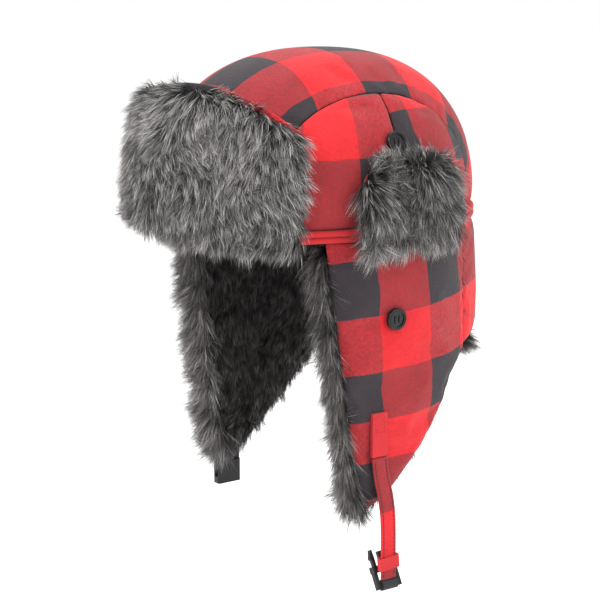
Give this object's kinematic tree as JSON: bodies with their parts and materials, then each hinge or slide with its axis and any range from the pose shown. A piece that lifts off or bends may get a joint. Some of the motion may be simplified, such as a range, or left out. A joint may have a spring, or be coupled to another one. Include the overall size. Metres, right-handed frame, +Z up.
{
  "type": "trapper hat",
  "caption": "Winter trapper hat: padded check crown, turned-up fur visor, hanging ear flaps with fur lining, small ear doors, chin strap and side-release buckle.",
  "frame": {"origin": "centre of the head opening at the level of the band seam", "axes": "+Z up, the front of the hat faces -Y, the wearer's left is +X"},
  "size_m": [0.2202, 0.2607, 0.3572],
  "materials": {
    "plaid_flannel": "brushed red and black buffalo check",
    "red_flannel": "brushed red flannel",
    "wadding": "polyester wadding",
    "faux_fur": "long two-tone grey faux fur",
    "quilted_lining": "black quilted satin",
    "tape": "black ribbed tape",
    "webbing": "black woven webbing",
    "elastic": "black round elastic",
    "button": "gloss black",
    "thread": "black thread",
    "buckle": "satin black"
  },
  "bodies": {
    "hat": {"crown_top_strip": "plaid_flannel", "crown_side_front_left": "plaid_flannel", "crown_side_front_right": "plaid_flannel", "crown_side_rear_left": "plaid_flannel", "crown_side_rear_right": "plaid_flannel", "strip_wadding": "wadding", "side_wadding_front_left": "wadding", "side_wadding_front_right": "wadding", "side_wadding_rear_left": "wadding", "side_wadding_rear_right": "wadding", "crown_lining": "quilted_lining", "band_welt": "red_flannel", "sweatband": "tape", "ear_shell_left": "plaid_flannel", "ear_shell_right": "plaid_flannel", "ear_wadding_left": "wadding", "ear_wadding_right": "wadding", "ear_pile_left": "faux_fur", "ear_pile_right": "faux_fur", "nape_shell": "plaid_flannel", "nape_wadding": "wadding", "nape_pile": "faux_fur", "upper_button_left": "button", "upper_button_right": "button", "upper_button_thread_left": "thread", "upper_button_thread_right": "thread"},
    "visor": {"visor_backing": "plaid_flannel", "visor_wadding": "wadding", "visor_pile": "faux_fur"},
    "ear_door_left": {"ear_door_backing_left": "plaid_flannel", "ear_door_pile_left": "faux_fur", "ear_door_loop_left": "elastic"},
    "ear_flap_left": {"flap_shell_left": "plaid_flannel", "flap_wadding_left": "wadding", "flap_pile_left": "faux_fur", "lower_button_left": "button", "lower_button_thread_left": "thread", "strap_anchor": "red_flannel"},
    "ear_door_right": {"ear_door_backing_right": "plaid_flannel", "ear_door_pile_right": "faux_fur", "ear_door_loop_right": "elastic"},
    "ear_flap_right": {"flap_shell_right": "plaid_flannel", "flap_wadding_right": "wadding", "flap_pile_right": "faux_fur", "lower_button_right": "button", "lower_button_thread_right": "thread", "webbing_tab": "webbing"},
    "strap": {"chin_strap": "plaid_flannel", "strap_end_eye": "webbing"},
    "keeper": {"strap_keeper": "red_flannel"},
    "male_buckle": {"buckle_male": "buckle"},
    "female_buckle": {"buckle_female": "buckle"}
  },
  "joints": [
    {"name": "visor_fold", "type": "hinge", "parent": "hat", "child": "visor", "pos_m": [0, -0.1212, -0.0025], "axis": [1, 0, 0], "range_deg": [0, 75]},
    {"name": "ear_door_left_fold", "type": "hinge", "parent": "hat", "child": "ear_door_left", "pos_m": [0.0965, 0.007, -0.003], "axis": [0.0872, -0.9962, 0], "range_deg": [-150, 0]},
    {"name": "ear_door_right_fold", "type": "hinge", "parent": "hat", "child": "ear_door_right", "pos_m": [-0.0965, 0.007, -0.003], "axis": [0.0872, 0.9962, 0], "range_deg": [-150, 0]},
    {"name": "ear_flap_left_lift", "type": "hinge", "parent": "hat", "child": "ear_flap_left", "pos_m": [0.10141, -0.05, -0.01], "axis": [0.065, -0.8545, 0.5154], "range_deg": [0, 90]},
    {"name": "ear_flap_right_lift", "type": "hinge", "parent": "hat", "child": "ear_flap_right", "pos_m": [-0.10141, -0.05, -0.01], "axis": [0.065, 0.8545, -0.5154], "range_deg": [0, 90]},
    {"name": "strap_swing", "type": "hinge", "parent": "ear_flap_left", "child": "strap", "pos_m": [0.096, -0.015, -0.1514], "axis": [0, -1, 0], "range_deg": [0, 100]},
    {"name": "keeper_slide", "type": "slide", "parent": "strap", "child": "keeper", "axis": [0, 0, 1], "range_m": [0, 0.02]},
    {"name": "male_buckle_turn", "type": "hinge", "parent": "strap", "child": "male_buckle", "pos_m": [0.096, -0.0065, -0.242], "axis": [0, -1, 0], "range_deg": [0, 152]},
    {"name": "female_buckle_turn", "type": "hinge", "parent": "ear_flap_right", "child": "female_buckle", "pos_m": [-0.0955, -0.013, -0.1965], "axis": [0, 1, 0], "range_deg": [-40, 40]}
  ]
}
